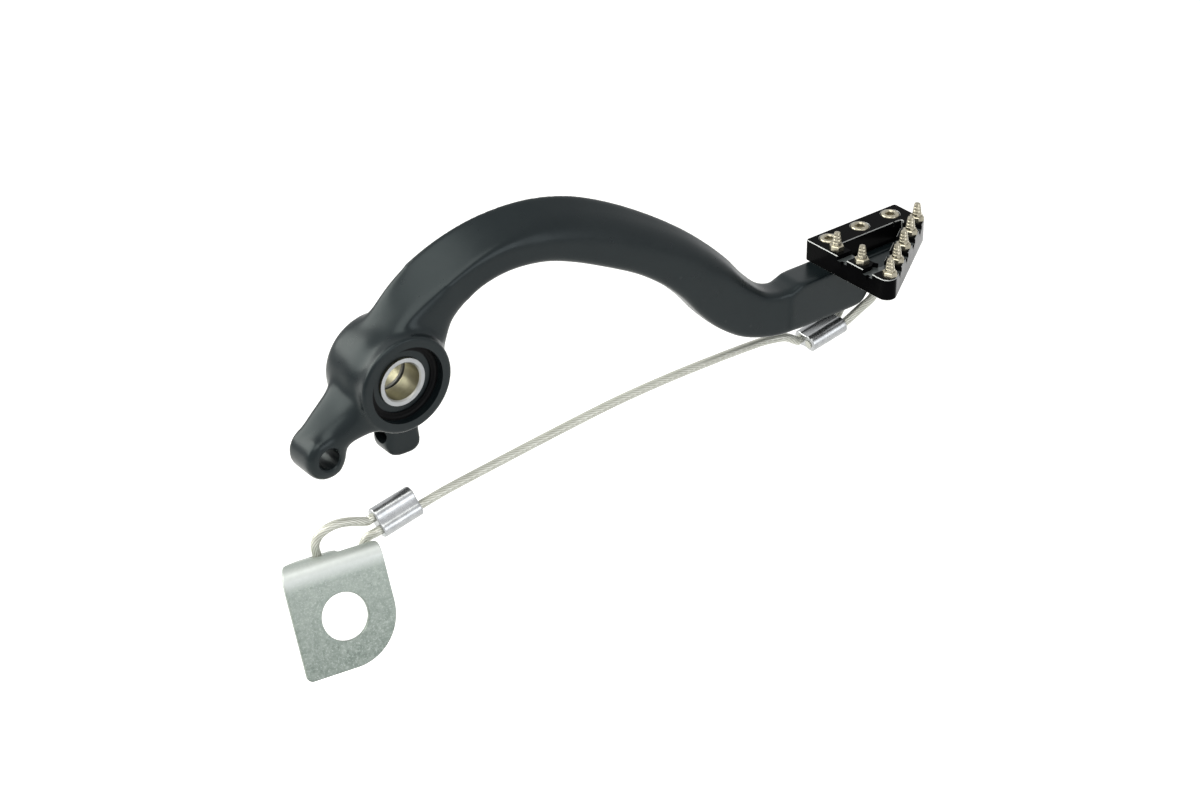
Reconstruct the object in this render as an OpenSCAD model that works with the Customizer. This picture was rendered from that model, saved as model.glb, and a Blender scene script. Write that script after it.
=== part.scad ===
// Rear brake pedal of an off-road motorcycle.
// The origin is on the pivot axis, in the middle of the hub.
// +X runs forward to the step plate, -Y is outboard and +Z is up.

/* [Hub] */
// Outer radius of the hub's flange
hub_r = 18; // [17:0.5:22]
// Length of the hub along the pivot
hub_len = 25; // [24:0.5:32]
// Depth of the recess in the outboard face
recess_deep = 4; // [2:0.5:6]
// Radius of the recess in the outboard face
recess_r = 14.3; // [12:0.1:15]
// Depth of the shallow recess in the inboard face
back_recess_deep = 1.6; // [1:0.1:3]

/* [Bushes and seals] */
// Radius of the bore that turns on the frame's pivot bolt
pivot_r = 7; // [5:0.5:8]
// Wall of each bush
bush_wall = 2; // [1.5:0.25:3]
// Length of each bush
bush_len = 10; // [6:0.5:11]
// How far each bush stands out of the floor of its recess
bush_proud = 0.9; // [0.2:0.1:1.5]
// Thickness of the dust seals
seal_t = 1; // [0.6:0.1:1.5]
// Width of a seal's ring
seal_w = 2.6; // [1:0.2:3]

/* [Arm] */
// Height of the arm's end above its bottom edge
tip_h = 19; // [16:0.5:22]
// Level of the deck that the step plate stands on
deck_z = -14.3; // [-16:0.1:-12]
// Turn of the arm's end towards the engine, in degrees
tip_yaw = 3; // [0:0.5:6]
// Width of the arm's end
tongue_w = 12.5; // [11:0.5:14]
// Thickness of the thin tongue under the step plate
tongue_t = 8; // [6:0.5:10]

/* [Rod eye and stop lug] */
// Radius of the pin hole in the rod eye
eye_pin_r = 4; // [3:0.5:5]
// Wall round the pin hole
eye_wall = 4.3; // [3:0.1:5]
// Width of the rod eye
eye_len = 14; // [12:0.5:16]
// Wall radius of the tapped hole in the stop lug
lug_hole_r = 3.4; // [2.5:0.1:4]
// Length of the stop lug along X
lug_l = 14.5; // [12:0.5:16]
// Width of the stop lug along Y
lug_w = 9; // [8.5:0.5:10]
// How far the lug reaches below the pivot
lug_drop = 38; // [36:0.5:42]

/* [Step plate] */
// Length of the step plate's back bar
plate_l = 45.5; // [44:0.5:56]
// Width of the back bar
back_bar_w = 10.7; // [10:0.1:14]
// Width of the left and slanting bars
bar_w = 7.2; // [6.6:0.2:9]
// Thickness of the step plate
plate_t = 8.4; // [7:0.2:10]
// Distance of the nose cleat from the back edge
nose_v = 40; // [38:0.2:46]
// Distance of the corner cleat from the back edge
corner_v = 14.4; // [14:0.2:18]
// Radius of the opening's inner corners
open_r = 1.6; // [1:0.2:2.4]
// Width of the channels between the cleats
channel_w = 5; // [3:0.5:5.5]
// Depth of the channels
channel_deep = 1.8; // [1:0.2:3]
// Width of the small notch below each channel's outer end
notch_w = 1.8; // [1:0.1:2.4]
// Height of that notch
notch_h = 1.8; // [1:0.1:2.4]

/* [Cleats] */
// Width of the cleat's hexagon across its corners
cleat_hex_d = 5.6; // [4.6:0.2:6]
// Height of the hexagon
cleat_hex_h = 2; // [1.4:0.2:3]
// Height of the ribbed point
cleat_tip_h = 5; // [3:0.5:6]
// Radius of the point at its foot
cleat_foot_r = 1.85; // [1.5:0.05:2.1]
// Radius of the point at its top
cleat_top_r = 1.15; // [0.8:0.05:1.4]
// Radius of the stud in the plate
cleat_stud_r = 1.5; // [1.2:0.1:1.8]
// Length of the stud
cleat_stud_l = 5; // [3:0.5:6]

/* [Plate screws] */
// Radius of the screw's shank
screw_r = 2.5; // [2:0.1:3]
// Radius of the screw's head
screw_head_r = 3.5; // [3.2:0.1:4]
// Height of the screw's head
screw_head_h = 2.8; // [2:0.1:4]
// How far the head stands out of the plate
screw_proud = 0.5; // [0:0.1:1]
// Width of the hexagon socket across its corners
socket_d = 3.8; // [3:0.1:4.4]
// Length of the shank below the head
screw_l = 12; // [9:0.5:13]
// Place of the first screw along the back bar
screw_u = 7.2; // [6:0.2:9]
// Distance of the screws from the back edge
screw_v = 5; // [4.6:0.1:5.6]

/* [Cable] */
// Radius of the coated steel cable
cable_r = 1.65; // [1.2:0.05:1.8]
// Outer radius of each barrel of a ferrule
ferrule_r = 3.2; // [2.8:0.1:3.6]
// Distance between the two barrels of a ferrule
ferrule_gap = 5; // [4.6:0.1:5.4]
// Length of a ferrule
ferrule_l = 16.5; // [12:0.5:18]

/* [Frame bracket] */
// Width of the bracket
bracket_w = 37; // [34:0.5:42]
// Radius of the bolt hole
bracket_hole_r = 8.5; // [6:0.5:10]
// Thickness of the sheet
sheet_t = 2; // [1.5:0.1:2.5]
// Height of the bend's top above the bolt hole
bracket_top = 22.5; // [20:0.5:26]
// Depth of the flange behind the bracket's face
flange_deep = 12.5; // [12:0.5:15]
// Radius of the cable hole in the flange
flange_hole_r = 2.9; // [2.5:0.1:3.2]

/* [Hidden] */
$fn = 64;

// Clearance round a piece that sits in a hole
fit_gap = 0.05;
// How far a cut runs past the face it opens
past = 1;

// Hub, bushes and seals
hub_y0 = -hub_len / 2;
hub_y1 = hub_len / 2;
bush_r = pivot_r + bush_wall;
outer_floor_y = hub_y0 + recess_deep;
inner_floor_y = hub_y1 - back_recess_deep;
bush_chamfer = 0.5;
hub_band_r = hub_r + 0.8;
hub_valley_r = hub_r - 1.2;

// Arm
arc_steps = 5;
arm_steps = 4;
tip_bottom_z = deck_z - tip_h;
tip_x = 184;
tip_back_y = -1;
tongue_v0 = 1.5;
tongue_v1 = tongue_v0 + tongue_w;
tongue_out_y = tip_back_y - tongue_v1;
tongue_in_y = tip_back_y - tongue_v0;
tongue_under_z = deck_z - tongue_t;
tongue_end_u = plate_l - 3;
eyelet_w = 5;
eyelet_hole_r = 3.2;
eyelet_r = 6.4;
eyelet_x = tip_x + 24;
eyelet_z = -26;
eyelet_y = (tongue_out_y + tongue_in_y) / 2 + 1.2;

// Rod eye and stop lug
eye_x = -29.5;
eye_z = -21;
eye_y0 = -8.4;
eye_r = eye_pin_r + eye_wall;
lug_x0 = 0.6;
lug_y1 = hub_y1;
lug_corner = 4;
lug_hole_z = -lug_drop + lug_hole_r + 5.2;

// Step plate, in its own frame: u along the back bar, v outboard
bar_half = bar_w / 2;
screw_pitch = (plate_l - 2 * screw_u) / 2;
nose_u = bar_half;
corner_u = plate_l - bar_half;
slant = atan2(corner_v - nose_v, corner_u - nose_u);
bar_spots = concat(
    [for (i = [0:1]) [nose_u, nose_v + (i - 2) * (nose_v - corner_v + 1.4) / 2]],
    [for (i = [0:4]) [nose_u, nose_v] + i / 4 * [corner_u - nose_u, corner_v - nose_v]]);
cleat_shift = [0.8, 0.4];
cleat_spots = [for (i = [0:6]) bar_spots[i] + (i < 2 ? [0, 0] : cleat_shift)];
channel_spots = [for (i = [0:5]) (bar_spots[i] + bar_spots[i + 1]) / 2];
channel_turns = [for (i = [0:5]) i < 2 ? 90 : slant];
notch_deep = 1;
plate_corner = 1.2;
cleat_grooves = 3;
groove_half = 0.22;

// Depth of the groove between a ferrule's barrels
waist = 0.35;
// Ferrule on the cable's loop at the arm's end
tip_ferrule_at = [178, -9.4, -43.5];
tip_ferrule_pitch = -12;
// Ferrule on the cable's loop at the bracket
bracket_ferrule_at = [-11.4, -7.2, -53.7];
bracket_ferrule_pitch = -13;
bracket_ferrule_roll = 51;

// Frame bracket, hung on its loop
bracket_at = [-33, -19.4, -77.2];
bracket_turn = [-24, -3.5, -10];
bend_in_r = 1.5;
bend_out_r = bend_in_r + sheet_t;
bend_steps = 14;
flange_x1 = 4;
// Depth of the relief that the flange's cut-away part leaves behind the bend
bend_relief = 0.3;
// How far the flange is bent past square, in degrees
flange_lean = 8;
// Hole for the loop: along the flange, and back from the end of the bend
flange_hole_at = [-2.4, 3.8];
foot_corner = 2;

// Shared shapes

function unit(a) = a / norm(a);

// Rounded corner at b between a and c, cut back by d
function corner(a, b, c, d, n) =
    let (p = b + unit(a - b) * min(d, norm(a - b) * 0.48),
         q = b + unit(c - b) * min(d, norm(c - b) * 0.48))
    [for (i = [0:n]) let (t = i / n)
        p * (1 - t) * (1 - t) + b * 2 * t * (1 - t) + q * t * t];

// Value at t between b and c on a smooth curve through a, b, c and d
function glide(a, b, c, d, t) =
    0.5 * (2 * b + (c - a) * t + (2 * a - 5 * b + 4 * c - d) * t * t
        + (3 * b - a - 3 * c + d) * t * t * t);

// A list of stations with steps smooth ones from each to the next
function glided(s, steps) = let (n = len(s)) concat(
    [for (i = [0:n - 2], k = [0:steps - 1])
        glide(s[max(i - 1, 0)], s[i], s[i + 1], s[min(i + 2, n - 1)], k / steps)],
    [s[n - 1]]);

// One ring of a forged arm. A station holds the bottom edge's x and z, the top
// edge's x and z, the outer and inner y, the drop of the outer ridge below the
// inner rim, and the roundness of the ridge, of the rim and of the bottom edges.
function forged_ring(s) =
    let (lo = [s[0], s[1]], up = [s[2], s[3]], h = norm(up - lo), dir = (up - lo) / h,
         a = [s[4], 0], b = [s[4], h - s[6]], c = [s[5], h], d = [s[5], 0],
         loop = concat(corner(d, a, b, s[9], arc_steps), corner(a, b, c, s[7], arc_steps),
             corner(b, c, d, s[8], arc_steps), corner(c, d, a, s[9], arc_steps)))
    [for (p = loop) [lo[0] + dir[0] * p[1], p[0], lo[1] + dir[1] * p[1]]];

// Closed skin over a list of rings, all with the same number of points
module skin(rings, turn = false) {
    n = len(rings[0]);
    m = len(rings);
    sides = [for (i = [0:m - 2], j = [0:n - 1])
        let (k = (j + 1) % n, q = [i * n + j, i * n + k, i * n + n + k, i * n + n + j])
        each [[q[0], q[1], q[2]], [q[0], q[2], q[3]]]];
    ends = [[for (j = [n - 1:-1:0]) j], [for (j = [0:n - 1]) (m - 1) * n + j]];
    faces = concat(sides, ends);
    polyhedron([for (r = rings, p = r) p],
        turn ? [for (f = faces) [for (i = [len(f) - 1:-1:0]) f[i]]] : faces);
}

// Cylinder along Y from y0 to y1
module rod_y(r, y0, y1) {
    translate([0, y1, 0]) rotate([90, 0, 0]) cylinder(r = r, h = y1 - y0);
}

// Moves the children to the step plate's frame at the deck
module at_tip() {
    translate([tip_x, tip_back_y, deck_z]) rotate([0, 0, tip_yaw]) mirror([0, 1, 0]) children();
}

// The arm

// Stations of the arm, from inside the hub to the end of the tongue
arm_stations = [
    [16.5, 0, -10, 15, -9, 8, 1, 2, 3, 3],
    [20.4, 9, -3, 22, -8.8, 8.4, 4, 1.5, 3.5, 3],
    [22.8, 15.6, 5, 29.6, -8.9, 8.6, 6.5, 1.5, 3, 3],
    [29.6, 22.6, 18.8, 38.2, -9.3, 7.4, 7, 1.8, 2.5, 3],
    [38, 26.5, 32.4, 44, -9.7, 6, 7.2, 2.5, 2.5, 3],
    [48, 28, 46, 47, -10.1, 4.6, 7.6, 4, 2.5, 3],
    [60, 27, 61, 47.7, -10.6, 3.2, 8.5, 7, 3, 3],
    [72, 23.2, 77, 45, -11.1, 1.8, 9, 9, 3.5, 3],
    [86, 17, 93, 38.8, -11.7, 0.2, 8.5, 10, 4, 3],
    [99, 10.4, 109, 29.9, -12.3, -1.2, 7.5, 10, 4, 3],
    [110, 2.8, 123, 20.4, -12.8, -2.4, 6, 9, 4, 3],
    [119, -5.6, 134, 11.1, -13.3, -3.2, 5, 8, 3.5, 3],
    [127, -15, 143, 2.1, -13.7, -3.8, 4, 6, 3, 3],
    [135, -22.6, 150, -6.4, -14.1, -4.2, 3, 4, 2.5, 3],
    [145, -29, 156.5, -12.6, -14.6, -4.4, 2, 3, 2.2, 2.5],
    [156, -32.4, 162, -15, -15.1, -4.4, 1, 2.6, 2, 2],
    [165, -33.4, 166.5, -15.1, -15.5, -4.2, 0.6, 2.4, 1.6, 1.6],
    [169.5, -33.1, 170.5, -14.6, -15, -3.8, 0.3, 2.4, 1.4, 1.6]];

// Stations of the arm's end, in the step plate's frame: u, bottom and top
tip_stations = [
    [-19, -tip_h + 0.6, -2, 2.4],
    [-14.6, -tip_h, -0.2, 2.4],
    [-13, -tip_h, 0, 2],
    [-6, -tip_h, 0, 1.8],
    [2, -tip_h, 0, 1.6],
    [14, -tip_h, 0, 1.2],
    [18, -tip_h + 1.4, 0, 1.2],
    [20.4, -tip_h + 5, 0, 1.2],
    [22.5, -tongue_t - 2.2, 0, 1.2],
    [26, -tongue_t, 0, 1.2],
    [tongue_end_u - 2, -tongue_t, 0, 1.2],
    [tongue_end_u, -tongue_t + 2, 0, 1.2]];

// One ring of the arm's end
function tip_ring(s) =
    let (a = [tongue_v1, s[1]], b = [tongue_v1, s[2]], c = [tongue_v0, s[2]],
         d = [tongue_v0, s[1]],
         loop = concat(corner(d, a, b, 1.6, arc_steps), corner(a, b, c, s[3], arc_steps),
             corner(b, c, d, 1, arc_steps), corner(c, d, a, 1.6, arc_steps)))
    [for (p = loop) [s[0], p[0], p[1]]];

// Stations of the short arm that carries the rod eye
eye_stations = [
    [2, -12, -8, 15, -12.2, 7, 4, 4, 5, 3],
    [-7.2, -14.7, -15.5, 7.8, -12.2, 8, 4, 4, 5, 3],
    [-14.2, -15.9, -21.5, -0.4, -11.2, 7.6, 5, 5, 5, 3],
    [-19.8, -18.1, -28, -6, -9.6, 6.8, 5, 5, 5, 3],
    [-25, -22.6, -34.2, -12.2, -7.8, 6, 3.5, 4, 5, 4],
    [-27.6, -27.6, -37.4, -17.6, -6.8, 5.4, 2, 3, 5, 4]];

// Outline of the hub from the bore's axis outwards: a flange with a rounded lip,
// a hollow behind it, the band that the arms grow from and a rounded inboard end
module hub_body() {
    rotate([-90, 0, 0]) rotate_extrude($fn = 96) polygon([
        [bush_r - 2, hub_y0], [hub_r - 0.6, hub_y0], [hub_r, hub_y0 + 0.5],
        [hub_r + 0.3, hub_y0 + 2.2], [hub_r, hub_y0 + 3], [hub_valley_r + 0.2, hub_y0 + 4.2],
        [hub_valley_r, hub_y0 + 5.4], [hub_valley_r + 0.6, hub_y0 + 7],
        [hub_band_r, hub_y0 + 9], [hub_band_r, hub_y1 - 2.6], [hub_band_r - 0.5, hub_y1 - 1.2],
        [hub_band_r - 1.6, hub_y1 - 0.2], [hub_band_r - 2.4, hub_y1], [bush_r - 2, hub_y1]]);
}

// Lug with two rounded corners below the hub's inboard end
module stop_lug() {
    x1 = lug_x0 + lug_l;
    foot_z = -lug_drop + lug_corner;
    for (x = [lug_x0 + lug_corner, x1 - lug_corner])
        translate([x, 0, foot_z]) rod_y(lug_corner, lug_y1 - lug_w, lug_y1);
    translate([lug_x0 + lug_corner, lug_y1 - lug_w, -lug_drop])
        cube([lug_l - 2 * lug_corner, lug_w, lug_drop - bush_r]);
    translate([lug_x0, lug_y1 - lug_w, foot_z]) cube([lug_l, lug_w, lug_drop - lug_corner - bush_r]);
}

// Plate below the tongue with the hole for the cable's loop
module cable_eyelet() {
    translate([eyelet_x, 0, eyelet_z])
        rod_y(eyelet_r, eyelet_y - eyelet_w / 2, eyelet_y + eyelet_w / 2);
    translate([eyelet_x - eyelet_r, eyelet_y - eyelet_w / 2, eyelet_z])
        cube([2 * eyelet_r, eyelet_w, tongue_under_z + 1 - eyelet_z]);
    translate([eyelet_x - eyelet_r - 6, eyelet_y - eyelet_w / 2, eyelet_z - 2])
        cube([eyelet_r + 6, eyelet_w, tongue_under_z + 3 - eyelet_z]);
}

module pedal_arm() {
    color("#2b3236") difference() {
        union() {
            hub_body();
            skin([for (s = glided(arm_stations, arm_steps)) forged_ring(s)]);
            skin([for (s = glided(eye_stations, arm_steps)) forged_ring(s)], true);
            at_tip() skin([for (s = glided(tip_stations, 2)) tip_ring(s)], true);
            translate([eye_x, 0, eye_z]) rod_y(eye_r, eye_y0, eye_y0 + eye_len);
            stop_lug();
            cable_eyelet();
        }
        rod_y(bush_r, hub_y0 - past, hub_y1 + past);
        rod_y(recess_r, hub_y0 - past, outer_floor_y);
        rod_y(recess_r, inner_floor_y, hub_y1 + past);
        translate([eye_x, 0, eye_z])
            rod_y(eye_pin_r, eye_y0 - past, eye_y0 + eye_len + past);
        translate([lug_x0 - past, lug_y1 - lug_w / 2, lug_hole_z]) rotate([0, 90, 0])
            cylinder(r = lug_hole_r, h = lug_l + 2 * past);
        translate([eyelet_x, 0, eyelet_z])
            rod_y(eyelet_hole_r, eyelet_y - eyelet_w, eyelet_y + eyelet_w);
        at_tip() for (i = [0:2])
            translate([screw_u + i * screw_pitch, screw_v, -tip_h - past])
                cylinder(r = screw_r + fit_gap, h = tip_h + 2 * past);
    }
}

// The bushes and seals

// Bush with chamfered ends, from y0 to y1
module bush(y0, y1) {
    translate([0, y0, 0]) rotate([-90, 0, 0]) rotate_extrude() polygon([
        [pivot_r, bush_chamfer], [pivot_r + bush_chamfer, 0], [bush_r - fit_gap, 0],
        [bush_r - fit_gap, y1 - y0], [pivot_r + bush_chamfer, y1 - y0],
        [pivot_r, y1 - y0 - bush_chamfer]]);
}

module outer_pivot_bush() {
    y0 = outer_floor_y - bush_proud;
    color("#c9c8c2") bush(y0, y0 + bush_len);
}

module inner_pivot_bush() {
    y1 = inner_floor_y + bush_proud;
    color("#c9c8c2") bush(y1 - bush_len, y1);
}

// Seal that lies in a recess, with a raised lip at its outer edge
module dust_seal() {
    r1 = recess_r - fit_gap;
    r0 = r1 - seal_w;
    rotate([-90, 0, 0]) rotate_extrude() polygon([
        [r0, 0], [r1, 0], [r1, -seal_t], [r1 - seal_w * 0.3, -seal_t],
        [r1 - seal_w * 0.5, -seal_t * 0.6], [r0, -seal_t * 0.6]]);
}

module outer_dust_seal() {
    color("#141516") translate([0, outer_floor_y, 0]) dust_seal();
}

module inner_dust_seal() {
    color("#141516") translate([0, inner_floor_y, 0]) mirror([0, 1, 0]) dust_seal();
}

// The step plate

// Point where the line from p along angle a crosses v = level
function at_v(p, a, level) = [p[0] + (level - p[1]) * cos(a) / sin(a), level];

// Triangle with rounded corners of radius r, given by its sharp corners
module round_triangle(t, r) {
    in = [for (i = [0:2]) let (p = t[i], a = unit(t[(i + 1) % 3] - p), b = unit(t[(i + 2) % 3] - p),
        half = acos(a * b) / 2) p + unit(a + b) * r / sin(half)];
    difference() {
        polygon(t);
        for (i = [0:2]) let (p = t[i], a = unit(t[(i + 1) % 3] - p),
            b = unit(t[(i + 2) % 3] - p), half = acos(a * b) / 2, d = r / tan(half))
            polygon([p, p + a * d, in[i], p + b * d]);
    }
    for (i = [0:2]) translate(in[i]) circle(r = r);
}

module plate_2d() {
    nose = [nose_u, nose_v];
    end = [corner_u, corner_v];
    out = bar_half * [-sin(slant), cos(slant)];
    slant_in = nose - out;
    opening = [[bar_w, back_bar_w], at_v(slant_in, slant, back_bar_w),
        slant_in + [cos(slant), sin(slant)] * (bar_w - slant_in[0]) / cos(slant)];
    difference() {
        union() {
            polygon([[0, plate_corner], [plate_corner, 0], [plate_l - plate_corner, 0],
                [plate_l, plate_corner], [plate_l, corner_v], end + out, nose + out, [0, nose_v]]);
            translate(nose) circle(r = bar_half);
            translate(end) circle(r = bar_half);
            for (u = [plate_corner, plate_l - plate_corner])
                translate([u, plate_corner]) circle(r = plate_corner);
        }
        round_triangle(opening, open_r);
    }
}

// The channels between the cleats, seen from above
module channels_2d() {
    for (i = [0:5]) translate(channel_spots[i]) rotate(channel_turns[i])
        translate([-channel_w / 2, -bar_half - past]) square([channel_w, bar_w + 2 * past]);
}

// Notch in the outer wall below channel number i
module channel_notch(i) {
    p = channel_spots[i];
    translate([p[0], p[1], plate_t - channel_deep]) rotate([0, 0, channel_turns[i]])
        translate([0, bar_half + past, 0]) rotate([90, 0, 0]) linear_extrude(past + notch_deep)
            polygon([[-notch_w / 2, past], [-notch_w / 2, 0], [0, -notch_h], [notch_w / 2, 0],
                [notch_w / 2, past]]);
}

module step_plate() {
    color("#0c0d0e") at_tip() difference() {
        linear_extrude(plate_t) plate_2d();
        translate([0, 0, plate_t - channel_deep]) linear_extrude(channel_deep + past) channels_2d();
        for (i = [0:5]) channel_notch(i);
        for (p = cleat_spots) translate([p[0], p[1], plate_t - cleat_stud_l - 0.5])
            cylinder(r = cleat_stud_r + fit_gap, h = cleat_stud_l + past);
        for (i = [0:2]) translate([screw_u + i * screw_pitch, screw_v, 0]) {
            translate([0, 0, -past]) cylinder(r = screw_r + 0.2, h = plate_t + 2 * past);
            translate([0, 0, plate_t - screw_head_h + screw_proud])
                cylinder(r = screw_head_r + 0.15, h = screw_head_h);
        }
    }
}

// Socket screw number i, counted from the arm's side
module step_screw(i) {
    color("#b9ad8f") at_tip()
        translate([screw_u + i * screw_pitch, screw_v, plate_t + screw_proud]) difference() {
            union() {
                translate([0, 0, -screw_head_h]) cylinder(r = screw_head_r, h = screw_head_h);
                translate([0, 0, -screw_head_h - screw_l]) cylinder(r = screw_r, h = screw_l + 1);
            }
            translate([0, 0, -screw_head_h * 0.7])
                cylinder(d = socket_d, h = screw_head_h, $fn = 6);
        }
}

module step_screw_1() { step_screw(0); }
module step_screw_2() { step_screw(1); }
module step_screw_3() { step_screw(2); }

// Radius of the cleat's point at height h above the hexagon
function point_r(h) = cleat_foot_r + (cleat_top_r - cleat_foot_r) * h / cleat_tip_h;

// Cleat number i: a stud, a hexagon and a grooved point
module cleat(i) {
    step = cleat_tip_h / (cleat_grooves + 1);
    color("#c8bfa6") at_tip() translate([cleat_spots[i][0], cleat_spots[i][1], plate_t]) {
        translate([0, 0, -cleat_stud_l]) cylinder(r = cleat_stud_r, h = cleat_stud_l + 1, $fn = 32);
        cylinder(d = cleat_hex_d, h = cleat_hex_h, $fn = 6);
        translate([0, 0, cleat_hex_h]) rotate_extrude($fn = 32) polygon(concat(
            [[0, -0.5], [cleat_foot_r, -0.5]],
            [for (k = [1:cleat_grooves]) let (h = k * step) each [
                [point_r(h - groove_half), h - groove_half], [point_r(h) - groove_half, h],
                [point_r(h + groove_half), h + groove_half]]],
            [[cleat_top_r, cleat_tip_h - groove_half], [cleat_top_r - groove_half, cleat_tip_h],
                [0, cleat_tip_h]]));
    }
}

module cleat_1() { cleat(0); }
module cleat_2() { cleat(1); }
module cleat_3() { cleat(2); }
module cleat_4() { cleat(3); }
module cleat_5() { cleat(4); }
module cleat_6() { cleat(5); }
module cleat_7() { cleat(6); }

// The cable and its ferrules

// Point in a ferrule's barrel: side -1 or 1, and how far along from its left end
function barrel(at, roll, pitch, side, along) =
    let (y = side * ferrule_gap / 2 * cos(roll), z = side * ferrule_gap / 2 * sin(roll))
    at + [along * cos(pitch) + z * sin(pitch), y, z * cos(pitch) - along * sin(pitch)];
function tip_barrel(side, along) = barrel(tip_ferrule_at, 0, tip_ferrule_pitch, side, along);
function end_barrel(side, along) =
    barrel(bracket_ferrule_at, bracket_ferrule_roll, bracket_ferrule_pitch, side, along);

// Route of the cable, from its cut end in the outboard barrel of the tip ferrule
// round the loop at the arm's end, back along the run and round the loop at the bracket
cable_route = concat(
    [for (s = [-0.4, ferrule_l, ferrule_l + 1.5]) tip_barrel(-1, s)],
    [[202, -13, -35.4], [205.8, -14.8, -31.4], [207.6, -14.2, -28], [208, -11.4, -26.2],
        [208, -8.2, -25.8], [208, -5, -26.2], [207.6, -2.2, -28], [205.8, -1.4, -31.4],
        [202, -3.8, -35.4]],
    [for (s = [ferrule_l + 1.5, ferrule_l, 0, -1.5]) tip_barrel(1, s)],
    [[171.5, -6.2, -41], [164, -5.4, -40], [156, -5.2, -39.7], [138, -5.6, -39.5],
        [116, -6.2, -39.7], [92, -6.8, -40.9], [66, -7.4, -43.6], [40, -8, -46.7],
        [18, -8.6, -49.4]],
    [for (s = [ferrule_l + 2.5, ferrule_l, 0, -1.5]) end_barrel(-1, s)],
    [[-15.6, -6.8, -58.4], [-18, -6.4, -63.4], [-21.4, -6.2, -67.6], [-26, -5.4, -69.8],
        [-30.6, -4.8, -68.2], [-33.2, -4.2, -64], [-33.8, -3.4, -59.6], [-34.4, -3.6, -55.4],
        [-33, -4.2, -51.9], [-29.4, -4.8, -49.8], [-25, -5.2, -49.4], [-20, -5.6, -50.4]],
    [for (s = [-2.5, 0, ferrule_l + 0.4]) end_barrel(1, s)]);
route_steps = 2;
cable_path = glided(cable_route, route_steps);

// Direction of the path at point i
function heading(p, i) = unit(p[min(i + 1, len(p) - 1)] - p[max(i - 1, 0)]);

// Sideways directions along the path, each turned as little as possible from the last
function sides_along(p, i, last) =
    let (h = heading(p, i), s = unit(last - (last * h) * h))
    i == len(p) - 1 ? [s] : concat([s], sides_along(p, i + 1, s));

module safety_cable() {
    side = sides_along(cable_path, 0, [0, 1, 0]);
    color("#b7b39f") skin([for (i = [0:len(cable_path) - 1])
        let (a = side[i], b = cross(heading(cable_path, i), a))
        [for (j = [0:7]) cable_path[i] + cable_r * (a * cos(45 * j) + b * sin(45 * j))]], true);
}

// Ferrule with two barrels side by side, along X from the origin
module ferrule() {
    rotate([90, 0, 90]) linear_extrude(ferrule_l) difference() {
        union() {
            for (s = [-1, 1]) translate([s * ferrule_gap / 2, 0]) circle(r = ferrule_r);
            translate([-ferrule_gap / 2, waist - ferrule_r])
                square([ferrule_gap, 2 * (ferrule_r - waist)]);
        }
        for (s = [-1, 1]) translate([s * ferrule_gap / 2, 0]) circle(r = cable_r + fit_gap);
    }
}

module tip_ferrule() {
    color("#d9dde2") translate(tip_ferrule_at) rotate([0, tip_ferrule_pitch, 0]) ferrule();
}

module bracket_ferrule() {
    color("#d9dde2") translate(bracket_ferrule_at) rotate([0, bracket_ferrule_pitch, 0])
        rotate([bracket_ferrule_roll, 0, 0]) ferrule();
}

// The frame bracket

// Face of the bracket: square above, round below on one side
module bracket_face_2d() {
    half = bracket_w / 2;
    top = bracket_top - bend_out_r;
    difference() {
        union() {
            circle(r = half);
            translate([-half, 0]) square([bracket_w, top]);
            translate([-half, foot_corner - half]) square([half, half - foot_corner]);
            translate([foot_corner - half, -half]) square([half - foot_corner, half]);
            translate([foot_corner - half, foot_corner - half]) circle(r = foot_corner);
        }
        circle(r = bracket_hole_r);
    }
}

// Moves the children to the bend's axis, at the left edge of the sheet
module at_bend() {
    translate([-bracket_w / 2, bend_out_r, bracket_top - bend_out_r]) children();
}

// Section of the bent sheet, from just below the bend to the flange's edge
module bend_2d() {
    turns = [for (i = [0:bend_steps]) 180 - i * (90 + flange_lean) / bend_steps];
    out = [for (a = turns) bend_out_r * [cos(a), sin(a)]];
    in = [for (i = [bend_steps:-1:0]) bend_in_r * [cos(turns[i]), sin(turns[i])]];
    run = (flange_deep - bend_out_r) * [cos(flange_lean), -sin(flange_lean)];
    polygon(concat([[-bend_out_r, -sheet_t]], out, [out[bend_steps] + run, in[0] + run], in,
        [[-bend_in_r, -sheet_t]]));
}

module frame_bracket() {
    half = bracket_w / 2;
    color("#a9adaf") translate(bracket_at) rotate(bracket_turn) difference() {
        union() {
            translate([0, sheet_t, 0]) rotate([90, 0, 0]) linear_extrude(sheet_t) bracket_face_2d();
            at_bend() rotate([90, 0, 90]) linear_extrude(bracket_w) bend_2d();
        }
        at_bend() rotate([-flange_lean, 0, 0]) {
            translate([half + flange_x1, bend_relief, 0]) cube([half, flange_deep, bend_out_r + past]);
            translate([half + flange_hole_at[0], flange_hole_at[1], 0])
                cylinder(r = flange_hole_r, h = bend_out_r + past);
        }
    }
}

pedal_arm();
outer_pivot_bush();
inner_pivot_bush();
outer_dust_seal();
inner_dust_seal();
step_plate();
step_screw_1();
step_screw_2();
step_screw_3();
cleat_1();
cleat_2();
cleat_3();
cleat_4();
cleat_5();
cleat_6();
cleat_7();
safety_cable();
tip_ferrule();
bracket_ferrule();
frame_bracket();
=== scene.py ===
import math

import bpy
import bmesh
from mathutils import Matrix, Vector


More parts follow.
